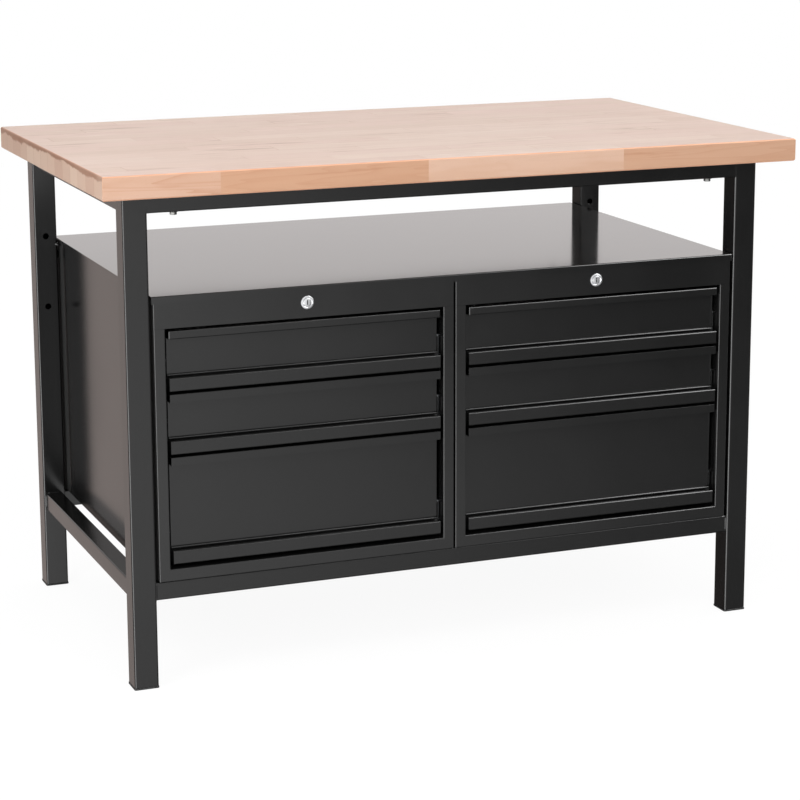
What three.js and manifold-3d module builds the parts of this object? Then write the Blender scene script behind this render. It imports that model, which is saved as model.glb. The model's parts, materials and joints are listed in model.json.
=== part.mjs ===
// A workbench with a laminated beech top on a square-tube frame. Two steel cabinets with three
// drawers each stand between the legs, under a shelf sheet. Millimetres, +X right, +Y back, +Z up.
// The origin is on the floor, under the middle of the worktop. The drawers pull out towards -Y.
import * as THREE from "three";
import * as BufferGeometryUtils from "three/addons/utils/BufferGeometryUtils.js";
import Module from "manifold-3d";

const wasm = await Module();
wasm.setup();

// Worktop
const benchLength = 1200;
const benchDepth = 700;
const benchHeight = 840;
const topThickness = 38;
const topEdge = 2;

// Frame
const sideOverhang = 44;
const frontOverhang = 54;
const backOverhang = 6;
const legWidth = 40;
const tubeWall = 2;
const legRadius = 3;
const railHeight = 30;
const railRadius = 2.5;
const railInset = 4;
const railSetback = 6;
const lowRailBase = 145;
const legHoleRadius = 5.5;
const legHoleHeights = [519.5, 646.5];
const capFlange = 3;
const capLip = 0.6;
const capPlug = 22;
const seatGap = 0.3;

// Joins and cuts: how far welded parts lap, how far a cutter stands out, the least bend inside a tube
const weldLap = 1;
const overcut = 1;
const leastBend = 0.5;

// Shelf sheet
const shelfHeight = 640;
const sheetThickness = 1.5;
const shelfLip = 12;
const shelfSideGap = 3;

// Cabinets
const cabinetLegGap = 5.5;
const cabinetMidGap = 3;
const cabinetWall = 1.5;
const stileWidth = 18.5;
const sillHeight = 20;
const fasciaHeight = 52;
const fasciaInset = 2.5;
const stileTongue = 20;
const frameReturn = 24;
const topFlange = 22;
const foldEdge = 2.5;

// Drawers
const shallowFront = 98;
const drawerGap = 4.5;
const bottomGap = 7.5;
const frontSideGap = 5.5;
const frontSheet = 1.5;
const stripHeight = 13.5;
const recessDepth = 16;
const gripHeight = 22;
const gripBack = 4;
const gripFold = 6;
const boxBackGap = 40.7;
const boxWall = 1.5;
const boxLift = 10;
const boxDrop = 20;
const boxBackDrop = 8;

// Runners
const runnerSpace = 13;
const runnerHeight = 34;
const runnerWall = 1.5;
const runnerReach = 8.5;
const runnerBackGap = 54.2;
const runnerLift = 8;
const slideClearance = 0.4;
const slideSideGap = 1;
const bracketLength = 30;
const bracketInset = 25;

// Locks
const plugRadius = 7;
const plugRecess = 0.4;
const plugTail = 3;
const lockClearance = 0.3;
const lockSleeve = 1.7;
const lockFlange = 2;
const lockRim = 2.2;
const lockDrop = 27;
const keySlotWidth = 1.6;
const keySlotHeight = 8;
const keySlotDepth = 5;
const camLength = 34;
const camWidth = 14;
const camThickness = 2;
const camCorner = 2;
const camFrameGap = 1.3;

// Spacers between cabinet and back leg
const spacerRadius = 8;
const spacerDrop = 28.2;

const legInnerX = benchLength / 2 - sideOverhang - legWidth;
const frontY = -benchDepth / 2 + frontOverhang;
const backY = benchDepth / 2 - backOverhang;
const topUnderside = benchHeight - topThickness;
const railDepth = legWidth - railInset - railSetback;
const lowRailTop = lowRailBase + railHeight;
const cabinetWidth = legInnerX - cabinetLegGap - cabinetMidGap / 2;
const cabinetBase = lowRailTop + seatGap;
const cabinetTop = shelfHeight - sheetThickness - seatGap;
const openingHalf = cabinetWidth / 2 - stileWidth;
const openingBase = cabinetBase + sillHeight;
const fasciaBase = shelfHeight - fasciaHeight;
const deepFront = fasciaBase - openingBase - bottomGap - 3 * drawerGap - 2 * shallowFront;
const boxHalf = openingHalf - runnerSpace;
const recessY = frontY + recessDepth;
const boxFrontY = recessY + frontSheet + seatGap;
const boxLength = backY - cabinetWall - boxBackGap - boxFrontY;
const runnerY = frontY + frameReturn + seatGap;
const runnerLength = backY - cabinetWall - runnerBackGap - runnerY;
const lockHeight = shelfHeight - lockDrop;
const lockBody = plugRadius + lockClearance + lockSleeve;
const lockLength = frameReturn + camFrameGap - seatGap - plugTail;

const colours = {
  beech: { color: 0xd9c0a4, roughness: 0.5, metalness: 0 },
  blackSteel: { color: 0x1c1c1d, roughness: 0.35, metalness: 0 },
  plastic: { color: 0x141414, roughness: 0.6, metalness: 0 },
  zinc: { color: 0xb9bcc0, roughness: 0.35, metalness: 1 },
  chrome: { color: 0xe6e8ea, roughness: 0.12, metalness: 1 },
};

const group = new THREE.Group();

// Merges shared vertices, so that the surface is one closed skin.
function welded(geometry) {
  const bare = geometry.clone();
  bare.deleteAttribute("normal");
  bare.deleteAttribute("uv");
  return BufferGeometryUtils.mergeVertices(bare, 1e-4);
}

function solid(geometry) {
  const skin = welded(geometry);
  const vertProperties = Float32Array.from(skin.attributes.position.array);
  const triVerts = Uint32Array.from(skin.index.array);
  return new wasm.Manifold(new wasm.Mesh({ numProp: 3, vertProperties, triVerts }));
}

function geometryOf(manifold) {
  const mesh = manifold.getMesh();
  const geometry = new THREE.BufferGeometry();
  geometry.setAttribute("position", new THREE.BufferAttribute(mesh.vertProperties, 3));
  geometry.setIndex(new THREE.BufferAttribute(mesh.triVerts, 1));
  return geometry;
}

function addNode(name, shape, finish) {
  const geometry = shape.isBufferGeometry ? shape : geometryOf(shape);
  const mesh = new THREE.Mesh(geometry, new THREE.MeshStandardMaterial(colours[finish]));
  mesh.name = name;
  group.add(mesh);
}

// A block between two values on each axis, given in either order.
function blockGeometry([x0, x1], [y0, y1], [z0, z1]) {
  const size = [Math.abs(x1 - x0), Math.abs(y1 - y0), Math.abs(z1 - z0)];
  const geometry = new THREE.BoxGeometry(...size);
  return geometry.translate((x0 + x1) / 2, (y0 + y1) / 2, (z0 + z1) / 2);
}

function block(xs, ys, zs) {
  return solid(blockGeometry(xs, ys, zs));
}

function joined(solids) {
  return solids.reduce((whole, next) => whole.add(next));
}

// A round bar with its axis along Y, from y0 to y1.
function roundBar(radius, y0, y1, x, z, sides = 24) {
  const geometry = new THREE.CylinderGeometry(radius, radius, y1 - y0, sides);
  return solid(geometry.translate(x, (y0 + y1) / 2, z));
}

function roundedSquare(width, height, radius, segments = 3) {
  const shape = new THREE.Shape();
  const [w, h] = [width / 2, height / 2];
  const corners = [[w - radius, h - radius], [radius - w, h - radius],
    [radius - w, radius - h], [w - radius, radius - h]];
  const points = corners.flatMap(([x, y], quarter) => Array.from({ length: segments + 1 }, (_, step) => {
    const angle = (quarter + step / segments) * Math.PI / 2;
    return new THREE.Vector2(x + radius * Math.cos(angle), y + radius * Math.sin(angle));
  }));
  return shape.setFromPoints(points);
}

function insideBend(radius) {
  return Math.max(radius - tubeWall, leastBend);
}

// A square tube along Z from 0 to its length, centred on the Z axis and open at both ends.
function tubeGeometry(width, height, length, radius) {
  const shape = roundedSquare(width, height, radius);
  const bore = roundedSquare(width - 2 * tubeWall, height - 2 * tubeWall, insideBend(radius), 2);
  shape.holes.push(new THREE.Path(bore.getPoints()));
  return new THREE.ExtrudeGeometry(shape, { depth: length, bevelEnabled: false });
}

// A bent sheet of even thickness: a path of [y, z] points, offset to its left and run along X.
function bentSheet(path, thickness, x0, x1) {
  const points = path.map(([y, z]) => new THREE.Vector2(y, z));
  const normals = points.slice(1).map((point, i) => {
    const along = point.clone().sub(points[i]).normalize();
    return new THREE.Vector2(-along.y, along.x);
  });
  const inner = points.map((point, i) => {
    const before = normals[Math.max(i - 1, 0)];
    const after = normals[Math.min(i, normals.length - 1)];
    const sum = before.clone().add(after);
    return point.clone().addScaledVector(sum, thickness * 2 / sum.lengthSq());
  });
  const shape = new THREE.Shape([...points, ...inner.reverse()]);
  const geometry = new THREE.ExtrudeGeometry(shape, { depth: x1 - x0, bevelEnabled: false });
  // The shape's x, y and depth become Y, Z and X.
  geometry.applyMatrix4(new THREE.Matrix4().set(0, 0, 1, x0, 1, 0, 0, 0, 0, 1, 0, 0, 0, 0, 0, 1));
  return geometry;
}

function makeWorktop() {
  const shape = new THREE.Shape();
  const [x, y] = [benchLength / 2 - topEdge, benchDepth / 2 - topEdge];
  shape.setFromPoints([[-x, -y], [x, -y], [x, y], [-x, y]].map(([px, py]) => new THREE.Vector2(px, py)));
  const geometry = new THREE.ExtrudeGeometry(shape, {
    depth: topThickness - 2 * topEdge, bevelThickness: topEdge, bevelSize: topEdge, bevelSegments: 1,
  });
  addNode("worktop", geometry.translate(0, 0, topUnderside + topEdge), "beech");
}

function makeLegs() {
  for (const [side, sx] of [["left", -1], ["right", 1]]) {
    for (const [end, y] of [["front", frontY + legWidth / 2], ["back", backY - legWidth / 2]]) {
      const x = sx * (legInnerX + legWidth / 2);
      const length = topUnderside - seatGap - capFlange - seatGap;
      let leg = solid(tubeGeometry(legWidth, legWidth, length, legRadius));
      leg = leg.translate([x, y, capFlange + seatGap]);
      if (end === "back") {
        for (const z of legHoleHeights) {
          const wall = y - legWidth / 2;
          leg = leg.subtract(roundBar(legHoleRadius, wall - overcut, wall + tubeWall + overcut, x, z, 16));
        }
      }
      addNode(`leg_${end}_${side}`, leg, "blackSteel");
      const flange = roundedSquare(legWidth + 2 * capLip, legWidth + 2 * capLip, legRadius);
      const bore = legWidth - 2 * tubeWall - 2 * seatGap;
      const plug = roundedSquare(bore, bore, insideBend(legRadius) + seatGap, 2);
      const disc = new THREE.ExtrudeGeometry(flange, { depth: capFlange, bevelEnabled: false });
      const stem = new THREE.ExtrudeGeometry(plug, { depth: capPlug, bevelEnabled: false });
      const cap = solid(disc).add(solid(stem)).translate([x, y, 0]);
      addNode(`foot_cap_${end}_${side}`, cap, "plastic");
    }
  }
}

function makeRails() {
  const railX = 2 * (legInnerX - seatGap);
  const railY = backY - frontY - 2 * legWidth - 2 * seatGap;
  const topRailBase = topUnderside - seatGap - railHeight;
  const along = (length) => tubeGeometry(railHeight, railDepth, length, railRadius);
  const alongX = (y, z) => along(railX).rotateY(Math.PI / 2).translate(-railX / 2, y, z + railHeight / 2);
  const alongY = (x, z) => tubeGeometry(railDepth, railHeight, railY, railRadius).rotateX(-Math.PI / 2)
    .translate(x, frontY + legWidth + seatGap, z + railHeight / 2);
  const sideX = legInnerX + legWidth - railInset - railDepth / 2;
  addNode("top_rail_front", alongX(frontY + railDepth / 2, topRailBase), "blackSteel");
  addNode("top_rail_back", alongX(backY - railDepth / 2, topRailBase), "blackSteel");
  addNode("top_rail_left", alongY(-sideX, topRailBase), "blackSteel");
  addNode("top_rail_right", alongY(sideX, topRailBase), "blackSteel");
  addNode("low_rail_front", alongX(frontY + railInset + railDepth / 2, lowRailBase), "blackSteel");
  addNode("low_rail_back", alongX(backY - railInset - railDepth / 2, lowRailBase), "blackSteel");
  addNode("low_rail_left", alongY(-sideX, lowRailBase), "blackSteel");
  addNode("low_rail_right", alongY(sideX, lowRailBase), "blackSteel");
}

function makeShelf() {
  const x = legInnerX - shelfSideGap;
  const path = [[frontY, shelfHeight - shelfLip], [frontY, shelfHeight], [backY, shelfHeight]];
  addNode("shelf_sheet", bentSheet(path, -sheetThickness, -x, x), "blackSteel");
}

// One cabinet shell: sides, back, floor, top flanges, stiles, sill and fascia, welded into one.
function makeCabinet(side, middle) {
  const half = cabinetWidth / 2;
  const at = (a, b) => [middle + a, middle + b];
  const front = frontY + cabinetWall;
  const returns = [front, frontY + frameReturn];
  const pieces = [];
  for (const s of [-1, 1]) {
    const outer = s * half;
    const inner = s * (half - cabinetWall);
    pieces.push(block(at(outer, inner), [front, backY], [cabinetBase, cabinetTop - foldEdge]));
    pieces.push(block(at(s * (half - foldEdge), s * (half - topFlange)), [front, backY],
      [cabinetTop - cabinetWall, cabinetTop]));
    pieces.push(foldAlongY(s, middle, front, backY));
    pieces.push(block(at(outer, s * openingHalf), [frontY, front], [cabinetBase, fasciaBase - seatGap]));
    pieces.push(block(at(inner, s * openingHalf), [front, front + cabinetWall],
      [fasciaBase - stileTongue, cabinetTop - foldEdge]));
    pieces.push(block(at(s * openingHalf, s * (openingHalf + cabinetWall)), returns,
      [cabinetBase, cabinetTop - foldEdge]));
  }
  const across = half - cabinetWall / 2;
  pieces.push(block(at(-across, across), [backY - cabinetWall, backY], [cabinetBase, cabinetTop - foldEdge]));
  pieces.push(block(at(-across, across), [front, backY], [cabinetBase, cabinetBase + cabinetWall]));
  const lapped = at(-openingHalf - weldLap, openingHalf + weldLap);
  pieces.push(block(lapped, [frontY, front], [cabinetBase, openingBase]));
  pieces.push(block(lapped, returns, [openingBase - cabinetWall, openingBase]));
  const fasciaHalf = half - fasciaInset;
  const lipBase = shelfHeight - shelfLip - seatGap;
  pieces.push(block(at(-fasciaHalf, fasciaHalf), [frontY, front], [fasciaBase, lipBase]));
  pieces.push(block(at(-fasciaHalf + stileWidth, fasciaHalf - stileWidth), [front, front + cabinetWall],
    [fasciaBase, cabinetTop - foldEdge]));
  pieces.push(block(lapped, returns, [fasciaBase, fasciaBase + cabinetWall]));
  const bored = [frontY - overcut, front + cabinetWall + overcut];
  const lockHole = roundBar(lockBody + lockClearance, ...bored, middle, lockHeight);
  const lipSpace = block(at(-half, half), [frontY, frontY + sheetThickness], [lipBase, shelfHeight]);
  addNode(`cabinet_${side}`, joined(pieces).subtract(lockHole).subtract(lipSpace), "blackSteel");
}

// The folded edge between a side wall and its top flange: a band at 45 degrees.
function foldAlongY(s, middle, y0, y1) {
  const half = cabinetWidth / 2;
  const outline = [[half, cabinetTop - foldEdge], [half - foldEdge, cabinetTop],
    [half - foldEdge, cabinetTop - cabinetWall], [half - cabinetWall, cabinetTop - foldEdge]];
  const shape = new THREE.Shape(outline.map(([x, z]) => new THREE.Vector2(middle + s * x, z)));
  const geometry = new THREE.ExtrudeGeometry(shape, { depth: y1 - y0, bevelEnabled: false });
  return solid(geometry.rotateX(Math.PI / 2).translate(0, y1, 0));
}

function makeRunners(side, middle, row, boxBase) {
  const z = boxBase + runnerLift;
  for (const [hand, s] of [["left", -1], ["right", 1]]) {
    const web = [middle + s * openingHalf, middle + s * (openingHalf - runnerWall)];
    const flange = [middle + s * openingHalf, middle + s * (openingHalf - runnerWall - runnerReach)];
    const ys = [runnerY, runnerY + runnerLength];
    const pieces = [block(web, ys, [z, z + runnerHeight])];
    pieces.push(block(flange, ys, [z, z + runnerWall]));
    pieces.push(block(flange, ys, [z + runnerHeight - runnerWall, z + runnerHeight]));
    const wall = cabinetWidth / 2 - cabinetWall - seatGap;
    for (const start of [bracketInset, runnerLength - bracketInset - bracketLength]) {
      pieces.push(block([middle + s * openingHalf, middle + s * wall],
        [runnerY + start, runnerY + start + bracketLength], [z, z + runnerHeight]));
    }
    addNode(`runner_${side}_${row}_${hand}`, joined(pieces), "zinc");
  }
}

function makeDrawer(side, middle, row, base, height) {
  const top = base + height;
  const half = openingHalf - frontSideGap;
  const at = (a, b) => [middle + a, middle + b];

  // Front: a strip across the top, a recessed panel under it.
  const path = [[recessY + frontSheet, top], [frontY, top], [frontY, top - stripHeight],
    [recessY, top - stripHeight], [recessY, base + frontSheet + seatGap]];
  addNode(`front_${side}_${row}`, bentSheet(path, frontSheet, middle - half, middle + half), "blackSteel");

  // Grip: a J-shaped bar across the bottom, which leaves a finger trough behind it.
  const backFace = recessY - seatGap - frontSheet;
  const hook = [[backFace + frontSheet, base + gripHeight + gripBack], [backFace + frontSheet, base],
    [frontY, base], [frontY, base + gripHeight], [frontY + gripFold, base + gripHeight]];
  addNode(`grip_${side}_${row}`, bentSheet(hook, -frontSheet, middle - half, middle + half), "blackSteel");

  // Box: open at the top, with a hollow slide rail along each side.
  const boxBase = base + boxLift;
  const boxTop = top - boxDrop;
  const ys = [boxFrontY, boxFrontY + boxLength];
  let box = block(at(-boxHalf, boxHalf), ys, [boxBase, boxTop]);
  box = box.subtract(block(at(boxWall - boxHalf, boxHalf - boxWall),
    [ys[0] + boxWall, ys[1] - boxWall], [boxBase + boxWall, boxTop + overcut]));
  box = box.subtract(block(at(boxWall - boxHalf, boxHalf - boxWall),
    [ys[1] - boxWall - overcut, ys[1] + overcut], [boxTop - boxBackDrop, boxTop + overcut]));
  const railBase = boxBase + runnerLift + runnerWall + slideClearance;
  const railTop = railBase + runnerHeight - 2 * runnerWall - 2 * slideClearance;
  const railOut = openingHalf - runnerWall - slideSideGap;
  for (const s of [-1, 1]) {
    const rail = block(at(s * (boxHalf - boxWall), s * railOut), ys, [railBase, railTop]);
    const hollow = block(at(s * boxHalf, s * (railOut - runnerWall)), [ys[0] - overcut, ys[1] + overcut],
      [railBase + runnerWall, railTop - runnerWall]);
    box = box.add(rail.subtract(hollow));
  }
  addNode(`drawer_${side}_${row}`, box, "blackSteel");
  makeRunners(side, middle, row, boxBase);
}

function makeLock(side, middle) {
  const z = lockHeight;
  const face = frontY - lockRim;
  const back = frontY + lockLength;
  const bore = roundBar(plugRadius + lockClearance, face - overcut, back + overcut, middle, z);
  const rim = roundBar(lockBody + lockFlange, face, frontY - seatGap, middle, z);
  const housing = rim.add(roundBar(lockBody, frontY - seatGap - weldLap, back, middle, z)).subtract(bore);
  addNode(`lock_housing_${side}`, housing, "chrome");

  const plugFace = face + plugRecess;
  let plug = roundBar(plugRadius, plugFace, back + plugTail, middle, z);
  const slotX = [middle - keySlotWidth / 2, middle + keySlotWidth / 2];
  const slotZ = [z - keySlotHeight / 2, z + keySlotHeight / 2];
  plug = plug.subtract(block(slotX, [plugFace - overcut, plugFace + keySlotDepth], slotZ));
  addNode(`lock_plug_${side}`, plug, "chrome");

  const shape = new THREE.Shape();
  shape.absarc(0, 0, camWidth / 2, Math.PI / 2, Math.PI * 1.5);
  shape.lineTo(camLength, camCorner - camWidth / 2);
  shape.lineTo(camLength, camWidth / 2 - camCorner);
  const cam = new THREE.ExtrudeGeometry(shape, { depth: camThickness, bevelEnabled: false, curveSegments: 8 });
  const camBack = back + plugTail + seatGap + camThickness;
  addNode(`lock_cam_${side}`, cam.rotateX(Math.PI / 2).translate(middle, camBack, z), "zinc");
}

function makeSpacer(side, s) {
  const x0 = legInnerX - cabinetLegGap + seatGap;
  const x1 = legInnerX - seatGap;
  const geometry = new THREE.CylinderGeometry(spacerRadius, spacerRadius, x1 - x0, 16);
  geometry.rotateZ(Math.PI / 2).translate(s * (x0 + x1) / 2, backY - legWidth / 2, cabinetTop - spacerDrop);
  addNode(`cabinet_spacer_${side}`, geometry, "blackSteel");
}

makeWorktop();
makeLegs();
makeRails();
makeShelf();
for (const [side, s] of [["left", -1], ["right", 1]]) {
  const middle = s * (cabinetMidGap + cabinetWidth) / 2;
  makeCabinet(side, middle);
  let top = fasciaBase;
  [shallowFront, shallowFront, deepFront].forEach((height, i) => {
    const base = top - drawerGap - height;
    makeDrawer(side, middle, ["top", "middle", "bottom"][i], base, height);
    top = base;
  });
  makeLock(side, middle);
  makeSpacer(side, s);
}

export default group;
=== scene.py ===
import json
from math import cos, pi, radians

import bmesh
import bpy
from mathutils import Matrix, Vector

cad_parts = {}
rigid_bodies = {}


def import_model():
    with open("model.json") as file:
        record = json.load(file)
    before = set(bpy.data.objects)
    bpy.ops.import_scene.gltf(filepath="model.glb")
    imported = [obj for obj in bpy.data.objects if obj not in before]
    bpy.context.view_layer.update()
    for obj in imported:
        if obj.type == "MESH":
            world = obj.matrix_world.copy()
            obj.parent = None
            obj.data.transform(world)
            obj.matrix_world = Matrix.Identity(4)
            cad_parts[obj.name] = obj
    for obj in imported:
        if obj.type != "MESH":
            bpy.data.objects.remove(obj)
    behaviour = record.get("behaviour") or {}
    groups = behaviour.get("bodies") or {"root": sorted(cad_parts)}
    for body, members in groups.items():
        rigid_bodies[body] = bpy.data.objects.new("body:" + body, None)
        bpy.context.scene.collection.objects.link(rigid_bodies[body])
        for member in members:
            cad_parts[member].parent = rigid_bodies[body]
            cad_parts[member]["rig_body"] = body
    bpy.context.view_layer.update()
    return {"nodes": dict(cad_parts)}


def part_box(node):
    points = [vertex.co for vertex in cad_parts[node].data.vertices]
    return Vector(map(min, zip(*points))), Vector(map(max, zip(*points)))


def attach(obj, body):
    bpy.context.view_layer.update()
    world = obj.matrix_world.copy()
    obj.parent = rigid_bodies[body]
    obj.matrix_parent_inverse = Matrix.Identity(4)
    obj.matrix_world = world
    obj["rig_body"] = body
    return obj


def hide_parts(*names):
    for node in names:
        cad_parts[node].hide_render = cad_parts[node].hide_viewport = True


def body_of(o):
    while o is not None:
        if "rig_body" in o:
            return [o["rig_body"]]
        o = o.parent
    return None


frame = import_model()
nodes = frame["nodes"]
print("frame loaded:", len(nodes), "CAD nodes")

# Camera
camera = {
    "lens": 109.35,
    "shiftY": -0.0625,
    "place": (-1.517, -3.8958, 1.3469),
    "heading": 21.528,  # from +Y towards +X
    "tilt": 12.033,  # below the horizon
    "roll": -0.223,
}

cameraData = bpy.data.cameras.new("benchCamera")
cameraData.lens = camera["lens"]
cameraData.shift_y = camera["shiftY"]
cameraObject = bpy.data.objects.new("benchCamera", cameraData)
bpy.context.scene.collection.objects.link(cameraObject)
heading = Matrix.Rotation(radians(-camera["heading"]), 4, "Z")
tilt = Matrix.Rotation(radians(90 - camera["tilt"]), 4, "X")
roll = Matrix.Rotation(radians(camera["roll"]), 4, "Z")
cameraObject.matrix_world = Matrix.Translation(camera["place"]) @ (heading @ tilt) @ roll
bpy.context.scene.camera = cameraObject
bpy.context.scene.view_settings.view_transform = "Standard"
print("camera set")


# Node helpers
def screenColour(red, green, blue):
    # 0-255 screen values to the linear values that shaders take
    def linear(value):
        value /= 255
        return value / 12.92 if value <= 0.04045 else ((value + 0.055) / 1.055) ** 2.4

    return (linear(red), linear(green), linear(blue), 1)


def screenGrey(tone):
    return screenColour(tone, tone, tone)


def putNode(tree, kind, inputs=None, **settings):
    node = tree.nodes.new(kind)
    for name, value in settings.items():
        setattr(node, name, value)
    for socket, value in (inputs or {}).items():
        if isinstance(value, bpy.types.NodeSocket):
            tree.links.new(value, node.inputs[socket])
        else:
            node.inputs[socket].default_value = value
    return node


def maths(tree, operation, first, second=0.0, third=0.0):
    return putNode(tree, "ShaderNodeMath", {0: first, 1: second, 2: third}, operation=operation).outputs[0]


def stretched(tree, vector, scale):
    return putNode(tree, "ShaderNodeMapping", {"Vector": vector, "Scale": scale}).outputs[0]


def noise(tree, vector, scale, detail=2.0, roughness=0.5, distortion=0.0):
    inputs = {
        "Vector": vector, "Scale": scale, "Detail": detail, "Roughness": roughness, "Distortion": distortion,
    }
    return putNode(tree, "ShaderNodeTexNoise", inputs).outputs["Fac"]


def remap(tree, value, low, high, newLow=0.0, newHigh=1.0, smooth=False):
    kind = "SMOOTHSTEP" if smooth else "LINEAR"
    inputs = {"Value": value, "From Min": low, "From Max": high, "To Min": newLow, "To Max": newHigh}
    return putNode(tree, "ShaderNodeMapRange", inputs, interpolation_type=kind).outputs["Result"]


def blendColour(tree, amount, first, second):
    return putNode(tree, "ShaderNodeMix", {0: amount, 6: first, 7: second}, data_type="RGBA").outputs[2]


def blendFloat(tree, amount, first, second):
    return putNode(tree, "ShaderNodeMix", {0: amount, 2: first, 3: second}, data_type="FLOAT").outputs[0]


def placeGroup(tree, group, **links):
    # puts a shared effect in a material; Wave_Size stands for the input Wave Size
    inputs = {name.replace("_", " "): value for name, value in links.items()}
    return putNode(tree, "ShaderNodeGroup", inputs, node_tree=group).outputs


def newGroup(name, inputs, outputs):
    # every group's first input is the Vector that it works on
    group = bpy.data.node_groups.new(name, "ShaderNodeTree")
    for label, kind, value in [("Vector", "Vector", None), *inputs]:
        socket = group.interface.new_socket(label, in_out="INPUT", socket_type="NodeSocket" + kind)
        if value is not None:
            socket.default_value = value
    for label, kind in outputs:
        group.interface.new_socket(label, in_out="OUTPUT", socket_type="NodeSocket" + kind)
    return group, group.nodes.new("NodeGroupInput").outputs, group.nodes.new("NodeGroupOutput")


def newMaterial(name):
    material = bpy.data.materials.new(name)
    material.use_nodes = True
    tree = material.node_tree
    shader = tree.nodes["Principled BSDF"]
    place = tree.nodes.new("ShaderNodeTexCoord").outputs["Object"]
    return material, tree, shader, place


def feed(tree, node, **links):
    # joins sockets to a node's inputs; Base_Color stands for the input Base Color
    for name, socket in links.items():
        tree.links.new(socket, node.inputs[name.replace("_", " ")])


def feedSurface(tree, shader, colour, rough, height, strength, depth):
    bump = putNode(tree, "ShaderNodeBump", {"Strength": strength, "Distance": depth, "Height": height})
    feed(tree, shader, Base_Color=colour, Roughness=rough, Normal=bump.outputs[0])


# Shared effects
coatTexture = {"waveSize": 0.02, "grainSize": 0.0011, "grainShare": 0.03, "cloudScale": 7.0}


def makeCoatSkin():
    # the faint waviness of a sprayed and baked coat, its fine grain and its slight clouding
    group, given, out = newGroup(
        "coatSkin",
        [("Wave Size", "Float", coatTexture["waveSize"]), ("Grain Size", "Float", coatTexture["grainSize"])],
        [("Height", "Float"), ("Cloud", "Float")],
    )
    waves = noise(group, given["Vector"], maths(group, "DIVIDE", 1.0, given["Wave Size"]), 1.0)
    grain = noise(group, given["Vector"], maths(group, "DIVIDE", 1.0, given["Grain Size"]), 2.0, 0.6)
    height = maths(group, "ADD", waves, maths(group, "MULTIPLY", grain, coatTexture["grainShare"]))
    feed(group, out, Height=height, Cloud=noise(group, given["Vector"], coatTexture["cloudScale"], 3.0))
    return group


dustFilm = {"upward": (0.6, 1.0), "patchScale": 11.0, "patches": (0.35, 0.75), "tone": (150, 146, 140)}


def makeSettledDust():
    # a thin, uneven film on faces that look up
    group, given, out = newGroup(
        "settledDust",
        [("Normal", "Vector", None), ("Amount", "Float", 0.02)],
        [("Film", "Float")],
    )
    up = putNode(group, "ShaderNodeSeparateXYZ", {0: given["Normal"]}).outputs["Z"]
    facing = remap(group, up, *dustFilm["upward"], smooth=True)
    patchy = noise(group, given["Vector"], dustFilm["patchScale"], 4.0, 0.6)
    patches = remap(group, patchy, *dustFilm["patches"])
    film = maths(group, "MULTIPLY", maths(group, "MULTIPLY", facing, patches), given["Amount"])
    feed(group, out, Film=film)
    return group


staveRows = {
    "stagger": 0.382,  # share of a stave by which each row starts further on
    "glueLine": (0.0002, 0.0012),
    "lap": 0.0001,  # keeps the front face inside the first row
}


def makeStaveLayout():
    # staves glued side by side and end to end along X: which one a point is in, how near its glue line
    group, given, out = newGroup(
        "staveLayout",
        [
            ("Width", "Float", 0.05),
            ("Length", "Float", 0.348),
            ("Front Edge", "Float", -0.35),
            ("First Joint", "Float", -0.048),
            ("Choice", "Float", 0.0),
        ],
        [("Tone", "Float"), ("Kind", "Float"), ("Row", "Float"), ("Seam", "Float"), ("Own Grain", "Vector")],
    )
    axes = putNode(group, "ShaderNodeSeparateXYZ", {0: given["Vector"]}).outputs
    fromEdge = maths(group, "SUBTRACT", axes["Y"], given["Front Edge"])
    across = maths(group, "DIVIDE", maths(group, "ADD", fromEdge, staveRows["lap"]), given["Width"])
    row = maths(group, "FLOOR", across)
    stagger = maths(group, "FRACT", maths(group, "MULTIPLY", row, staveRows["stagger"]))
    along = maths(group, "DIVIDE", maths(group, "SUBTRACT", axes["X"], given["First Joint"]), given["Length"])
    along = maths(group, "ADD", along, stagger)
    stave = maths(group, "FLOOR", along)
    name = putNode(group, "ShaderNodeCombineXYZ", {0: stave, 1: row, 2: given["Choice"]}).outputs[0]
    drawn = putNode(group, "ShaderNodeTexWhiteNoise", {"Vector": name}, noise_dimensions="3D").outputs
    shift = putNode(group, "ShaderNodeVectorMath", {0: drawn["Color"], 3: 30.0}, operation="SCALE").outputs[0]
    own = putNode(group, "ShaderNodeVectorMath", {0: given["Vector"], 1: shift}, operation="ADD").outputs[0]
    kind = putNode(group, "ShaderNodeSeparateColor", {0: drawn["Color"]}).outputs[1]

    sideSeam = maths(group, "MULTIPLY", maths(group, "PINGPONG", across, 0.5), given["Width"])
    endSeam = maths(group, "MULTIPLY", maths(group, "PINGPONG", along, 0.5), given["Length"])
    nearest = maths(group, "MINIMUM", sideSeam, endSeam)
    seam = remap(group, nearest, *staveRows["glueLine"], 1.0, 0.0, smooth=True)
    feed(group, out, Tone=drawn["Value"], Kind=kind, Row=row, Seam=seam, Own_Grain=own)
    return group


woodGrain = {
    # how close each mark stands along and across the stave
    "fibre": (9, 420, 420),
    "rings": (1.8, 22, 22),
    "clouds": (5, 26, 26),
    "flecks": (240, 1500, 1500),
    "dashes": 5.5,  # along only
    "archSharpness": 4.0,
}


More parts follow.
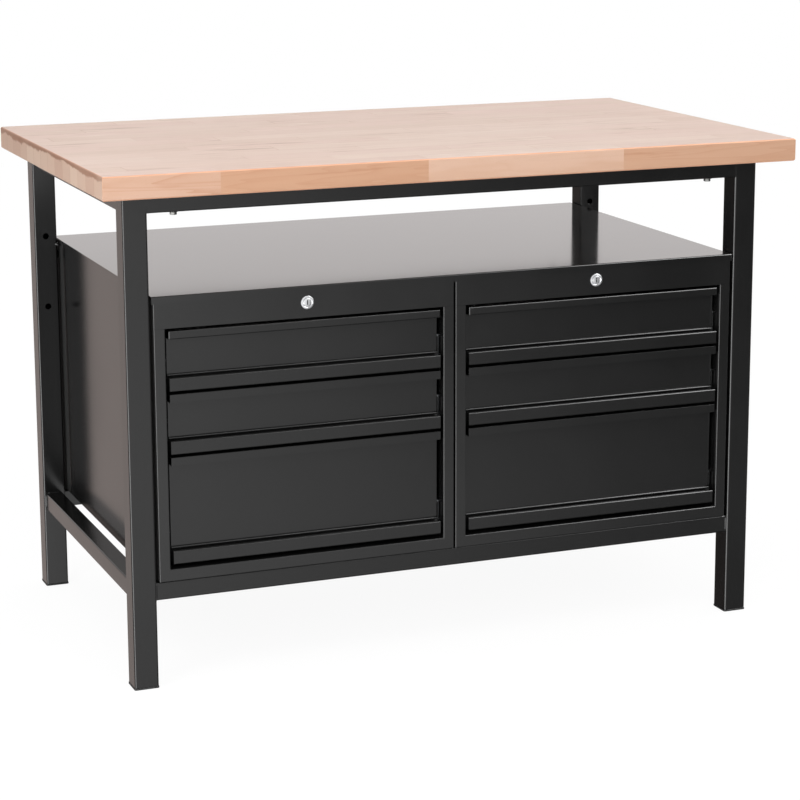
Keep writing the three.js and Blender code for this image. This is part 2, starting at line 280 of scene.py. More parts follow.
def makeLongGrain():
    # wood cut along its length: fibre, the growth rings' arched lines, dashes, clouds and flecks
    group, given, out = newGroup(
        "longGrain",
        [("Arch Spacing", "Float", 7.0), ("Dash Width", "Float", 0.013)],
        [
            ("Fibre", "Float"), ("Arches", "Float"), ("Dark Dash", "Float"), ("Pale Dash", "Float"),
            ("Cloud", "Float"), ("Fleck", "Float"),
        ],
    )
    place = given["Vector"]
    fibre = noise(group, stretched(group, place, woodGrain["fibre"]), 1.0, 3.0, 0.65)
    broad = noise(group, stretched(group, place, woodGrain["rings"]), 1.0, 2.0, 0.5, 0.4)
    turns = maths(group, "FRACT", maths(group, "MULTIPLY", broad, given["Arch Spacing"]))
    arches = maths(group, "POWER", turns, woodGrain["archSharpness"])  # slowly darker, then a sharp end

    across = maths(group, "DIVIDE", 1.0, given["Dash Width"])
    dashScale = putNode(group, "ShaderNodeCombineXYZ", {0: woodGrain["dashes"], 1: across, 2: across})
    dashInputs = {0: place, 1: dashScale.outputs[0]}
    dashPlace = putNode(group, "ShaderNodeVectorMath", dashInputs, operation="MULTIPLY").outputs[0]
    dashes = noise(group, dashPlace, 1.0, 3.0, 0.6)
    dark = remap(group, dashes, 0.58, 0.68, smooth=True)
    pale = remap(group, dashes, 0.36, 0.27, smooth=True)
    cloud = remap(group, noise(group, stretched(group, place, woodGrain["clouds"]), 1.0, 3.0, 0.6), 0.3, 0.7)
    fleck = remap(group, noise(group, stretched(group, place, woodGrain["flecks"]), 1.0, 1.0), 0.66, 0.76)
    feed(group, out, Fibre=fibre, Arches=arches, Dark_Dash=dark, Pale_Dash=pale, Cloud=cloud, Fleck=fleck)
    return group


endGrain = {
    "lean": 0.37,  # share of a stave by which the rings' middle moves from row to row
    "least": 0.03,  # depth of the rings' middle under the board
    "spread": 0.05,
    "wobble": 0.004,
    "wobbleScale": 60.0,
    "poreScale": 1400.0,
}


def makeEndRings():
    # growth rings and pores where the staves are cut across; each row has the middle of its rings elsewhere
    group, given, out = newGroup(
        "endRings",
        [
            ("Row", "Float", 0.0),
            ("Width", "Float", 0.05),
            ("Front Edge", "Float", -0.35),
            ("Under Side", "Float", 0.802),
            ("Ring Gap", "Float", 0.0026),
        ],
        [("Rings", "Float"), ("Pores", "Float")],
    )
    axes = putNode(group, "ShaderNodeSeparateXYZ", {0: given["Vector"]}).outputs
    lean = maths(group, "FRACT", maths(group, "MULTIPLY", given["Row"], endGrain["lean"]))
    rowStart = maths(group, "MULTIPLY_ADD", given["Row"], given["Width"], given["Front Edge"])
    y = maths(group, "SUBTRACT", axes["Y"], maths(group, "MULTIPLY_ADD", lean, given["Width"], rowStart))
    depth = maths(group, "MULTIPLY_ADD", lean, endGrain["spread"], endGrain["least"])
    z = maths(group, "ADD", maths(group, "SUBTRACT", axes["Z"], given["Under Side"]), depth)
    reach = putNode(group, "ShaderNodeCombineXYZ", {0: y, 1: z, 2: 0.0}).outputs[0]
    radius = putNode(group, "ShaderNodeVectorMath", {0: reach}, operation="LENGTH").outputs["Value"]
    uneven = noise(group, given["Vector"], endGrain["wobbleScale"], 2.0)
    wobble = maths(group, "MULTIPLY", uneven, endGrain["wobble"])
    turns = maths(group, "DIVIDE", maths(group, "ADD", radius, wobble), given["Ring Gap"])
    rings = remap(group, maths(group, "PINGPONG", turns, 0.5), 0.1, 0.5, smooth=True)
    pores = remap(group, noise(group, given["Vector"], endGrain["poreScale"], 1.0), 0.6, 0.75)
    feed(group, out, Rings=rings, Pores=pores)
    return group


coatSkin = makeCoatSkin()
settledDust = makeSettledDust()
staveLayout = makeStaveLayout()
longGrain = makeLongGrain()
endRings = makeEndRings()
print("shared effects built")


# Materials
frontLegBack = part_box("leg_front_left")[1].y
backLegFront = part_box("leg_back_left")[0].y
# painted shade: near-black, fully rough strips on the cabinets' and shelf's outer sides beside the legs,
# standing in for the shade in the gaps there
paintedGapShade = {
    # Y at which each strip beside the legs starts and is full
    "front": (frontLegBack + 0.006, frontLegBack - 0.004),
    "back": (backLegFront - 0.024, backLegFront - 0.012),
    "edge": 0.0004,
    "tone": 2,
}
coats = {
    # roughness, depth of the waves in metres, screen tone, dust, and the X from which the painted shade
    # strips beside the legs start
    "frameCoat": {"roughness": 0.2, "waves": 0.00003, "tone": 15, "dust": 0.01},
    "cabinetCoat": {"roughness": 0.16, "waves": 0.00003, "tone": 21, "dust": 0.01, "covered": 0.51},
    "shelfCoat": {"roughness": 0.1, "waves": 0.00001, "tone": 24, "dust": 0.05, "covered": 0.5125},
    "drawerCoat": {"roughness": 0.19, "waves": 0.00003, "tone": 16, "dust": 0.01},
}
coatClouds = {"paler": 5, "roughness": (0.93, 1.07)}  # by how much the coat varies


def makeBlackCoat(name, coat):
    material, tree, shader, place = newMaterial(name)
    normal = tree.nodes.new("ShaderNodeNewGeometry").outputs["Normal"]
    skin = placeGroup(tree, coatSkin, Vector=place)
    film = placeGroup(tree, settledDust, Vector=place, Normal=normal, Amount=coat["dust"])
    deep, pale = screenGrey(coat["tone"]), screenGrey(coat["tone"] + coatClouds["paler"])
    colour = blendColour(tree, remap(tree, skin["Cloud"], 0.3, 0.7), deep, pale)
    colour = blendColour(tree, film["Film"], colour, screenColour(*dustFilm["tone"]))
    smoothest, roughest = (coat["roughness"] * share for share in coatClouds["roughness"])
    rough = remap(tree, skin["Cloud"], 0.25, 0.75, smoothest, roughest)
    if "covered" in coat:
        # painted shade: the strips close beside the legs get a near-black colour and full roughness, standing
        # in for the shade in the gaps between the legs and the sheets
        axes = putNode(tree, "ShaderNodeSeparateXYZ", {0: place}).outputs
        fromMiddle = maths(tree, "ABSOLUTE", axes["X"])
        outward = remap(tree, fromMiddle, coat["covered"], coat["covered"] + paintedGapShade["edge"])
        nearLegs = [remap(tree, axes["Y"], *paintedGapShade[end]) for end in ("front", "back")]
        gapShade = maths(tree, "MULTIPLY", outward, maths(tree, "MAXIMUM", *nearLegs))
        rough = blendFloat(tree, gapShade, rough, 1.0)
        colour = blendColour(tree, gapShade, colour, screenGrey(paintedGapShade["tone"]))
    feedSurface(tree, shader, colour, rough, skin["Height"], 1.0, coat["waves"])
    return material


topLow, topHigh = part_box("worktop")
beech = {
    "staveWidth": 0.05,
    "staveLength": 0.345,
    "firstJoint": -0.068,
    "choice": 2281.2,  # which tones the staves draw
    "topPale": (226, 205, 192),
    "topDeep": (213, 188, 173),
    "topRose": (222, 193, 183),
    "topStreak": (160, 124, 102),
    "topGlow": (240, 224, 213),
    "edgePale": (231, 199, 178),
    "edgeDeep": (207, 162, 131),
    "edgeRose": (222, 190, 174),
    "edgeLine": (184, 126, 92),
    "arris": (221, 163, 129),
    "endPale": (226, 200, 180),
    "endDeep": (206, 172, 153),
    "endLine": (160, 120, 100),
    "scorch": (146, 100, 76),  # the dark band where the end was sanded hot
    "scorchDepth": 0.0078,
    "scorchLeast": 0.3,  # of its depth
    "scorchMost": 1.8,
    "seam": (176, 132, 104),
    "roughness": 0.5,
}
beechShares = {
    # how much of its colour each mark gets
    "topClouds": 0.45,
    "topPatches": 0.5,
    "topRose": 0.5,
    "topArches": 0.12,
    "topDarkDash": 0.6,
    "topPaleDash": 0.8,
    "topSeam": 0.5,
    "edgeRose": 0.6,
    "edgePatches": 0.35,
    "edgeArches": 1.0,
    "edgeDash": 1.0,
    "edgeFleck": 0.3,
    "edgeSeam": 0.4,
    "endRings": 0.2,
    "endPores": 0.25,
    "endSeam": 0.6,
    "fibre": 0.12,
    "seamRelief": 1.5,
}
beechMarks = {
    # how close each kind of mark stands
    "arches": 11.0,
    "patches": 4.5,
    "worn": 5.0,
    "heat": 9.0,
    "scorchEdge": (1, 11, 14),
    # how squarely a face looks along an axis before it counts as top, edge or end
    "square": (0.78, 0.97),
    "squareEnd": (0.5, 0.8),
}


def makeBeech():
    material, tree, shader, place = newMaterial("oiledBeech")
    tones = {name: screenColour(*value) for name, value in beech.items() if isinstance(value, tuple)}
    stave = placeGroup(
        tree, staveLayout, Vector=place, Width=beech["staveWidth"], Length=beech["staveLength"],
        Front_Edge=topLow.y, First_Joint=beech["firstJoint"], Choice=beech["choice"],
    )
    grain = placeGroup(tree, longGrain, Vector=stave["Own Grain"], Arch_Spacing=beechMarks["arches"])
    cut = placeGroup(
        tree, endRings, Vector=place, Row=stave["Row"], Width=beech["staveWidth"],
        Front_Edge=topLow.y, Under_Side=topLow.z,
    )
    normal = tree.nodes.new("ShaderNodeNewGeometry").outputs["Normal"]
    facing = putNode(tree, "ShaderNodeSeparateXYZ", {0: normal}).outputs
    facing = [maths(tree, "ABSOLUTE", facing[axis]) for axis in range(3)]

    def times(mask, other):
        return maths(tree, "MULTIPLY", mask, other)

    def layered(colour, *marks):
        # each mark is a mask, the name of its share and the name of its colour
        for mask, share, tone in marks:
            colour = blendColour(tree, times(mask, beechShares[share]), colour, tones[tone])
        return colour

    # top and underside: paler, low in contrast, with short dashes that come in groups; this paler, pinker
    # tone is partly the wood's own and partly painted light for the light and sheen the top gets
    patches = remap(tree, noise(tree, place, beechMarks["patches"], 2.0), 0.35, 0.65, smooth=True)
    clouds = blendFloat(tree, beechShares["topPatches"], grain["Cloud"], patches)
    mixed = blendFloat(tree, beechShares["topClouds"], stave["Tone"], clouds)
    worn = remap(tree, noise(tree, place, beechMarks["worn"], 3.0), 0.42, 0.6, 0.1, 1.0, smooth=True)
    top = layered(
        blendColour(tree, mixed, tones["topPale"], tones["topDeep"]),
        (stave["Kind"], "topRose", "topRose"),
        (grain["Arches"], "topArches", "topStreak"),
        (times(grain["Dark Dash"], worn), "topDarkDash", "topStreak"),
        (times(grain["Pale Dash"], worn), "topPaleDash", "topGlow"),
        (times(stave["Seam"], worn), "topSeam", "seam"),
    )

    # front and back edge: warmer, with arched lines on some of the staves
    edge = layered(
        blendColour(tree, stave["Tone"], tones["edgePale"], tones["edgeDeep"]),
        (remap(tree, stave["Kind"], 0.5, 0.75), "edgeRose", "edgeRose"),
        (remap(tree, grain["Cloud"], 0.25, 0.75, smooth=True), "edgePatches", "edgeDeep"),
        (times(grain["Arches"], remap(tree, stave["Kind"], 0.1, 0.8, 0.1, 0.6)), "edgeArches", "edgeLine"),
        (times(grain["Dark Dash"], remap(tree, stave["Tone"], 0.2, 1.0, 0.1, 0.6)), "edgeDash", "edgeLine"),
        (grain["Fleck"], "edgeFleck", "edgeLine"),
        (stave["Seam"], "edgeSeam", "seam"),
    )

    # ends: rings and pores, with an uneven dark band along the upper corner
    end = layered(
        blendColour(tree, stave["Tone"], tones["endPale"], tones["endDeep"]),
        (cut["Rings"], "endRings", "endLine"),
        (cut["Pores"], "endPores", "endLine"),
        (stave["Seam"], "endSeam", "seam"),
    )
    height = putNode(tree, "ShaderNodeSeparateXYZ", {0: place}).outputs["Z"]
    ragged = noise(tree, stretched(tree, place, beechMarks["scorchEdge"]), 1.0, 5.0, 0.7)
    least, most = (beech[name] * beech["scorchDepth"] for name in ("scorchLeast", "scorchMost"))
    reach = remap(tree, ragged, 0.32, 0.68, least, most)
    fromTop = maths(tree, "SUBTRACT", topHigh.z, height)
    burnt = remap(tree, maths(tree, "DIVIDE", fromTop, reach), 0.75, 1.15, 1.0, 0.0, smooth=True)
    heat = remap(tree, noise(tree, place, beechMarks["heat"], 2.0), 0.38, 0.6, 0.6, 0.9)
    end = blendColour(tree, times(burnt, heat), end, tones["scorch"])

    # partly painted light: the tone chosen by which way a face points holds the wood's own colour and also
    # painted light and shade, how the light and mirrored sheen fall on the top, edges and ends
    colour = blendColour(tree, remap(tree, facing[2], *beechMarks["square"]), tones["arris"], top)
    colour = blendColour(tree, remap(tree, facing[1], *beechMarks["square"]), colour, edge)
    colour = blendColour(tree, remap(tree, facing[0], *beechMarks["squareEnd"]), colour, end)
    colour = layered(colour, (grain["Fibre"], "fibre", "edgeDeep"))

    rough = maths(tree, "ADD", remap(tree, grain["Fibre"], 0.2, 0.8, -0.04, 0.05), beech["roughness"])
    relief = maths(tree, "SUBTRACT", grain["Fibre"], times(stave["Seam"], beechShares["seamRelief"]))
    feedSurface(tree, shader, colour, rough, relief, 0.5, 0.0001)
    return material


metals = {
    # screen colour, roughness, and how close the fine scratches stand along each axis
    "zincPlate": {"tone": (198, 201, 205), "roughness": 0.34, "scratches": (40, 600, 600)},
    "dullZinc": {"tone": (112, 112, 110), "roughness": 0.42, "scratches": (300, 300, 60)},
    "lockChrome": {"tone": (236, 237, 239), "roughness": 0.3, "scratches": (500, 60, 500)},
}
metalClouds = {"scale": 90.0, "darker": 0.88, "roughness": (0.88, 1.14)}


def makeBrightMetal(name, metal):
    material, tree, shader, place = newMaterial(name)
    cloud = noise(tree, place, metalClouds["scale"], 3.0)
    scratch = noise(tree, stretched(tree, place, metal["scratches"]), 1.0, 2.0, 0.6)
    darker = screenColour(*(value * metalClouds["darker"] for value in metal["tone"]))
    colour = blendColour(tree, cloud, screenColour(*metal["tone"]), darker)
    smoothest, roughest = (metal["roughness"] * share for share in metalClouds["roughness"])
    rough = remap(tree, scratch, 0.3, 0.7, smoothest, roughest)
    feedSurface(tree, shader, colour, rough, scratch, 0.3, 0.0001)
    shader.inputs["Metallic"].default_value = 1.0
    return material


def makeFootPlastic():
    material, tree, shader, place = newMaterial("footPlastic")
    grain = noise(tree, place, 900.0, 2.0, 0.6)
    cloud = noise(tree, place, 30.0, 2.0)
    colour = blendColour(tree, cloud, screenGrey(20), screenColour(32, 32, 33))
    feedSurface(tree, shader, colour, remap(tree, cloud, 0.3, 0.7, 0.5, 0.62), grain, 0.3, 0.0002)
    return material


materials = {name: makeBlackCoat(name, coat) for name, coat in coats.items()}
materials.update({name: makeBrightMetal(name, metal) for name, metal in metals.items()})
materials["oiledBeech"] = makeBeech()
materials["footPlastic"] = makeFootPlastic()
print("materials built:", len(materials))


# Finish of the CAD nodes: start of the name, material, edge radius in metres
finishes = [
    ("worktop", "oiledBeech", 0.0008),
    ("leg_", "frameCoat", 0.0004),
    ("top_rail_", "frameCoat", 0.0),
    ("low_rail_", "frameCoat", 0.0),
    ("foot_cap_", "footPlastic", 0.0006),
    ("shelf_sheet", "shelfCoat", 0.0),
    ("cabinet_", "cabinetCoat", 0.0),
    ("runner_", "zincPlate", 0.0003),
    ("drawer_", "drawerCoat", 0.0003),
    ("front_", "drawerCoat", 0.0),
    ("grip_", "drawerCoat", 0.0),
    ("lock_cam_", "zincPlate", 0.0003),
    ("lock_", "lockChrome", 0.0003),
]
sharpFrom = radians(40)  # flatter edges are facets of a rounded corner


def softenEdges(piece, radius):
    # rounds the sharp edges, but not the facets of the tubes' own rounded corners
    weld = piece.modifiers.new("weld", "WELD")
    weld.merge_threshold = 0.00001
    if radius:
        bevel = piece.modifiers.new("edge", "BEVEL")
        bevel.width = radius
        bevel.segments = 2
        bevel.limit_method = "ANGLE"
        bevel.angle_limit = sharpFrom
    for face in piece.data.polygons:
        face.use_smooth = True
    weighted = piece.modifiers.new("normals", "WEIGHTED_NORMAL")
    weighted.weight = 100
    weighted.keep_sharp = True


for nodeName, piece in nodes.items():
    for start, materialName, radius in finishes:
        if nodeName.startswith(start):
            piece.data.materials.clear()
            piece.data.materials.append(materials[materialName])
            softenEdges(piece, radius)
            break
    else:
        raise ValueError("no finish for " + nodeName)
print("CAD nodes finished:", len(nodes))


# New pieces
def addPiece(name, shape, materialName, body, sharpAngle=35):
    mesh = bpy.data.meshes.new(name)
    shape.to_mesh(mesh)
    shape.free()
    mesh.shade_smooth()
    mesh.set_sharp_from_angle(angle=radians(sharpAngle))
    mesh.materials.append(materials[materialName])
    piece = bpy.data.objects.new(name, mesh)
    bpy.context.scene.collection.objects.link(piece)
    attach(piece, body)
    return piece


def roundEdges(shape, edges, radius, steps):
    return bmesh.ops.bevel(
        shape, geom=edges, offset=radius, offset_type="OFFSET", segments=steps, profile=0.5,
        affect="EDGES", material=-1, clamp_overlap=True,
    )["faces"]


# Sheet metal: the same sheets with the round bends that a press brake leaves
sheetBends = {
    "radius": 0.002,
    "cabinetRadius": 0.0026,
    "tightRadius": 0.00012,  # on the fronts with another drawer above them
    "endRadius": 0.0012,
    "steps": 4,
    "corner": 0.0006,  # how far beyond a corner's rounding the long bends are cut
    "shortest": 0.012,  # shorter edges stay as they are
    "flatFrom": 0.999,  # a face whose normal lies this close to an axis is flat
    "sameBend": 35,  # degrees between faces that belong to one bend
    "besideFlat": 20,  # degrees within which a bend takes over a flat face's normal
}
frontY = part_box("leg_front_left")[0].y
sheet = 0.0015
hair = 0.00002  # places closer than this are the same


def mergedCopy(nodeName):
    shape = bmesh.new()
    shape.from_mesh(nodes[nodeName].data)
    bmesh.ops.remove_doubles(shape, verts=shape.verts, dist=hair / 2)
    bmesh.ops.dissolve_limit(shape, angle_limit=radians(1), verts=shape.verts, edges=shape.edges)
    return shape


def withParts(faces):
    # the faces with their edges and corners, each once
    return list(dict.fromkeys(item for face in faces for item in (face, *face.edges, *face.verts)))


def turnEvenly(mesh):
    # flat faces keep their own normal, and each bend turns evenly from one flat face to the next
    sameBend, besideFlat = radians(sheetBends["sameBend"]), radians(sheetBends["besideFlat"])
    bent = [max(abs(value) for value in face.normal) < sheetBends["flatFrom"] for face in mesh.polygons]
    around = [[] for vert in mesh.vertices]
    for face in mesh.polygons:
        if face.area > hair * hair:
            for vert in face.vertices:
                around[vert].append((face.normal.copy(), bent[face.index]))
    normals = [None] * len(mesh.loops)
    for face in mesh.polygons:
        for vert, corner in zip(face.vertices, face.loop_indices):
            total = face.normal.copy()
            if bent[face.index]:
                near = [(other, isBent) for other, isBent in around[vert] if other.angle(total, 0) < sameBend]
                flat = [other for other, isBent in near if not isBent and other.angle(total, 0) < besideFlat]
                total = sum(flat or [other for other, isBent in near], Vector())
            normals[corner] = total.normalized()
    mesh.normals_split_custom_set(normals)


def bendSheet(nodeName, shape, bends):
    # bends: pairs of a test that picks edges and the radius that they get; edges that meet are bent together
    for isBend, radius in bends:
        sharp = [edge for edge in shape.edges if edge.is_manifold and edge.calc_face_angle() > sharpFrom]
        sharp = [edge for edge in sharp if edge.calc_length() > sheetBends["shortest"] and isBend(edge)]
        ends = {
            (axis, round(vert.co[axis], 5))
            for axis in (0, 2) for edge in sharp if runsAlong(edge, axis) for vert in edge.verts
        }
        bent = withParts(roundEdges(shape, sharp, radius, sheetBends["steps"]))
        for axis, end in sorted(ends):
            # a cut on each side of a corner keeps the corner's rounding out of the long straight bends
            for aside in (-1, 1):
                place, across = Vector(), Vector()
                place[axis] = end + aside * (radius + sheetBends["corner"])
                across[axis] = 1
                cut = bmesh.ops.bisect_plane(shape, geom=bent, dist=hair / 4, plane_co=place, plane_no=across)
                bent = cut["geom"]
    bmesh.ops.remove_doubles(shape, verts=shape.verts, dist=hair / 4)
    slivers = [face for face in shape.faces if face.calc_area() < hair * hair]
    bmesh.ops.delete(shape, geom=slivers, context="FACES")
    node = nodes[nodeName]
    finish = node.data.materials[0].name
    piece = addPiece(nodeName + "_bent", shape, finish, body_of(node)[0])
    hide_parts(nodeName)
    turnEvenly(piece.data)


def liesAt(edge, axis, value):
    return all(abs(vert.co[axis] - value) < hair for vert in edge.verts)


def runsAlong(edge, axis):
    return all(abs(edge.verts[0].co[other] - edge.verts[1].co[other]) < hair for other in {0, 1, 2} - {axis})


cabinetFront = {
    "stile": 0.0185,
    "lintel": 0.004,  # height over the opening from which the front sheet is plain
    "closed": 0.02,  # and from which its long edges lie under the shelf's lip
}


def makeCabinet(side):
    name = f"cabinet_{side}"
    low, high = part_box(name)
    middle = (low.x + high.x) / 2
    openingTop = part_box(f"front_{side}_top")[1].z
    openingHalf = high.x - middle - cabinetFront["stile"]
    plainFrom = openingTop + cabinetFront["lintel"]
    shape = mergedCopy(name)
    for vert in shape.verts:
        inFront = vert.co.y < frontY + sheet + hair
        if inFront and vert.co.z > openingTop and abs(vert.co.x - middle) > openingHalf + hair:
            # the front sheet closes flush over the stiles
            vert.co.x = low.x if vert.co.x < middle else high.x
    for sign in (-1, 1):
        # the front sheet's lower edge is bent over the opening only
        above = [face for face in shape.faces if all(vert.co.z > plainFrom for vert in face.verts)]
        bmesh.ops.bisect_plane(
            shape, geom=withParts(above), dist=hair,
            plane_co=(middle + sign * openingHalf, 0, 0), plane_no=(1, 0, 0),
        )

    def isBend(edge):
        if not liesAt(edge, 1, frontY):
            return False
        beside = all(abs(vert.co.x - middle) > openingHalf - hair for vert in edge.verts)
        inLock = not runsAlong(edge, 0) and not runsAlong(edge, 2)
        covered = runsAlong(edge, 0) and edge.verts[0].co.z > openingTop
        closing = covered and (beside or edge.verts[0].co.z > openingTop + cabinetFront["closed"])
        return not inLock and not closing

    bendSheet(name, shape, [(isBend, sheetBends["cabinetRadius"])])


def makeFront(side, row):
    name = f"front_{side}_{row}"
    recess = max(vert.co.y for vert in nodes[name].data.vertices) - sheet
    radius = sheetBends["radius" if row == "top" else "tightRadius"]
    bendSheet(name, mergedCopy(name), [
        (lambda edge: liesAt(edge, 1, frontY) and (runsAlong(edge, 0) or runsAlong(edge, 2)), radius),
        (lambda edge: liesAt(edge, 1, recess) and runsAlong(edge, 2), sheetBends["endRadius"]),
    ])


def makeGrip(side, row):
    name = f"grip_{side}_{row}"
    bendSheet(name, mergedCopy(name), [
        (lambda edge: liesAt(edge, 1, frontY) and runsAlong(edge, 0), sheetBends["radius"]),
    ])


rolledEdge = {"radius": 0.0018, "sides": 24, "sunk": 0.0004}


def makeRolledEdge(side, row):
    # the rolled upper edge of the grip's back plate, against the drawer front
    low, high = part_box(f"grip_{side}_{row}")
    radius = rolledEdge["radius"]
    shape = bmesh.new()
    placed = Matrix.Translation((low.x, high.y - radius, high.z - radius + rolledEdge["sunk"]))
    bmesh.ops.create_circle(
        shape, cap_ends=True, segments=rolledEdge["sides"], radius=radius,
        matrix=placed @ Matrix.Rotation(radians(90), 4, "Y"),
    )
    grown = bmesh.ops.extrude_face_region(shape, geom=list(shape.faces))["geom"]
    end = [item for item in grown if isinstance(item, bmesh.types.BMVert)]
    bmesh.ops.translate(shape, verts=end, vec=(high.x - low.x, 0, 0))
    bmesh.ops.recalc_face_normals(shape, faces=shape.faces)
    addPiece(f"rolled_edge_{side}_{row}", shape, "drawerCoat", f"drawer_{side}_{row}")


seamFiller = {"depth": 0.0032, "height": 0.0024, "up": -0.0004}


def makeSeamFiller(side):
    # closes the seam between the shelf's lip and the front sheet under it, level with both
    low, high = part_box(f"cabinet_{side}")
    depth, height = seamFiller["depth"], seamFiller["height"]
    shape = bmesh.new()
    bmesh.ops.create_cube(shape, size=1)
    bmesh.ops.scale(shape, verts=shape.verts, vec=(high.x - low.x - 2 * hair, depth, height))
    place = ((low.x + high.x) / 2, frontY + depth / 2 - hair, lipBase + seamFiller["up"])
    bmesh.ops.translate(shape, verts=shape.verts, vec=place)
    upright = [edge for edge in shape.edges if runsAlong(edge, 2)]
    roundEdges(shape, upright, sheet, sheetBends["steps"])
    piece = addPiece(f"seam_filler_{side}", shape, "cabinetCoat", "bench")
    turnEvenly(piece.data)


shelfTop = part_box("shelf_sheet")[1].z
lipBase = min(vert.co.z for vert in nodes["shelf_sheet"].data.vertices if vert.co.y < frontY + hair)
for side in ("left", "right"):
    makeCabinet(side)
    makeSeamFiller(side)
    for row in ("top", "middle", "bottom"):
        makeFront(side, row)
        makeGrip(side, row)
        makeRolledEdge(side, row)


def isLipBend(edge):
    return liesAt(edge, 1, frontY) and (runsAlong(edge, 2) or liesAt(edge, 2, shelfTop))


bendSheet("shelf_sheet", mergedCopy("shelf_sheet"), [(isLipBend, sheetBends["radius"])])
print("sheets bent")


# Locks: a turned housing and a round plug with a key slot
lock = {
    "boreRadius": 0.0073,
    "lip": 0.0009,  # width and depth of the slope into the bore
    "rimEdge": 0.0008,
    "rimSteps": ((1.6, 0.0), (0.5, 0.35), (0.0, 1.3)),  # inwards and backwards, in shares of rimEdge
    "rimWidth": 0.002,
    "rimGap": 0.0003,  # between the rim and the fascia
    "plugRadius": 0.007,
    "plugDome": 0.0004,
    "slotWidth": 0.0016,
    "slotHeight": 0.0078,
    "slotDepth": 0.005,
    "sides": 64,
}


def lathe(profile, middle, sides):
    # a closed outline of (radius, distance along Y), turned about the line along Y through the middle
    shape = bmesh.new()
    verts = [shape.verts.new((middle[0] + radius, along, middle[1])) for radius, along in profile]
    edges = [shape.edges.new(pair) for pair in zip(verts, verts[1:] + verts[:1])]
    bmesh.ops.spin(
        shape, geom=verts + edges, cent=(middle[0], 0, middle[1]), axis=(0, 1, 0),
        angle=radians(360), steps=sides, use_merge=True,
    )
    bmesh.ops.remove_doubles(shape, verts=shape.verts, dist=hair / 10)
    bmesh.ops.recalc_face_normals(shape, faces=shape.faces)
    return shape


def makeLockHousing(side):
    low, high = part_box(f"lock_housing_{side}")
    middle = ((low.x + high.x) / 2, (low.z + high.z) / 2)
    rim = (high.x - low.x) / 2
    body, back = rim - lock["rimWidth"], frontY - lock["rimGap"]
    bore, edge, lip = lock["boreRadius"], lock["rimEdge"], lock["lip"]
    rounded = [(rim - edge * inward, low.y + edge * backward) for inward, backward in lock["rimSteps"]]
    profile = [(bore, low.y + lip), (bore + lip, low.y), *rounded]
    profile += [(rim, back), (body, back), (body, high.y), (bore, high.y)]
    shape = lathe(profile, middle, lock["sides"])
    piece = addPiece(f"lock_rim_{side}", shape, "lockChrome", "bench")
    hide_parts(f"lock_housing_{side}")


def makeLockPlug(side):
    low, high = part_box(f"lock_plug_{side}")
    middle = Vector(((low.x + high.x) / 2, (low.y + high.y) / 2, (low.z + high.z) / 2))
    shape = bmesh.new()
    placed = Matrix.Translation(middle) @ Matrix.Rotation(radians(90), 4, "X")
    bmesh.ops.create_cone(
        shape, cap_ends=True, segments=lock["sides"], radius1=lock["plugRadius"], radius2=lock["plugRadius"],
        depth=high.y - low.y, matrix=placed,
    )
    halves = {0: lock["slotWidth"] / 2, 2: lock["slotHeight"] / 2}  # along X and Z

    def inFront(face):
        return face.calc_center_median().y < low.y + hair

    def inSlot(face):
        return all(
            abs(vert.co[axis] - middle[axis]) < half + hair
            for vert in face.verts for axis, half in halves.items()
        )

    for axis, half in halves.items():
        for sign in (-1, 1):
            across = Vector()
            across[axis] = 1
            geometry = withParts([face for face in shape.faces if inFront(face)])
            place = middle + sign * half * across
            bmesh.ops.bisect_plane(shape, geom=geometry, plane_co=place, plane_no=across)
    slotFaces = [face for face in shape.faces if inFront(face) and inSlot(face)]
    sunk = bmesh.ops.extrude_face_region(shape, geom=slotFaces)["geom"]
    bmesh.ops.delete(shape, geom=slotFaces, context="FACES_ONLY")
    sunkVerts = [item for item in sunk if isinstance(item, bmesh.types.BMVert)]
    bmesh.ops.translate(shape, verts=sunkVerts, vec=(0, lock["slotDepth"], 0))
    # painted shade: the key slot's walls get the near-black foot plastic instead of the plug's chrome,
    # standing in for the shade deep in the narrow slot
    for face in shape.faces:
        face.material_index = 1 if inSlot(face) else 0
    rim = [
        edge for edge in shape.edges
        if all(abs(vert.co.y - low.y) < hair for vert in edge.verts)
        and all((vert.co - middle).xz.length > lock["plugRadius"] - hair for vert in edge.verts)
    ]
    roundEdges(shape, rim, lock["plugDome"], 3)
    bmesh.ops.recalc_face_normals(shape, faces=shape.faces)
    piece = addPiece(f"lock_face_{side}", shape, "lockChrome", f"lock_{side}")
    piece.data.materials.append(materials["footPlastic"])  # nothing shines inside the slot
    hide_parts(f"lock_plug_{side}")


for side in ("left", "right"):
    makeLockHousing(side)
    makeLockPlug(side)
print("locks made")


# Screws that hold the worktop down, under the long top rails: a washer and a hexagon head
screw = {
    "places": (-0.47, 0.47),
    "fromFace": 0.015,
    "washerRadius": 0.008,
    "washerThickness": 0.0016,
    "headRadius": 0.0058,
    "headHeight": 0.0046,
    "headEdge": 0.0005,
}


def makeScrew(name, x, y, z):
    shape = bmesh.new()
    for sides, radius, top, height in (
        (40, screw["washerRadius"], z, screw["washerThickness"]),
        (6, screw["headRadius"], z - screw["washerThickness"], screw["headHeight"]),
    ):
        made = bmesh.ops.create_cone(
            shape, cap_ends=True, segments=sides, radius1=radius, radius2=radius, depth=height,
            matrix=Matrix.Translation((x, y, top - height / 2)),
        )
        edges = dict.fromkeys(edge for vert in made["verts"] for edge in vert.link_edges)
        ends = [edge for edge in edges if abs(edge.verts[0].co.z - edge.verts[1].co.z) < hair]
        roundEdges(shape, ends, screw["headEdge"], 2)
    addPiece(name, shape, "dullZinc", "bench")


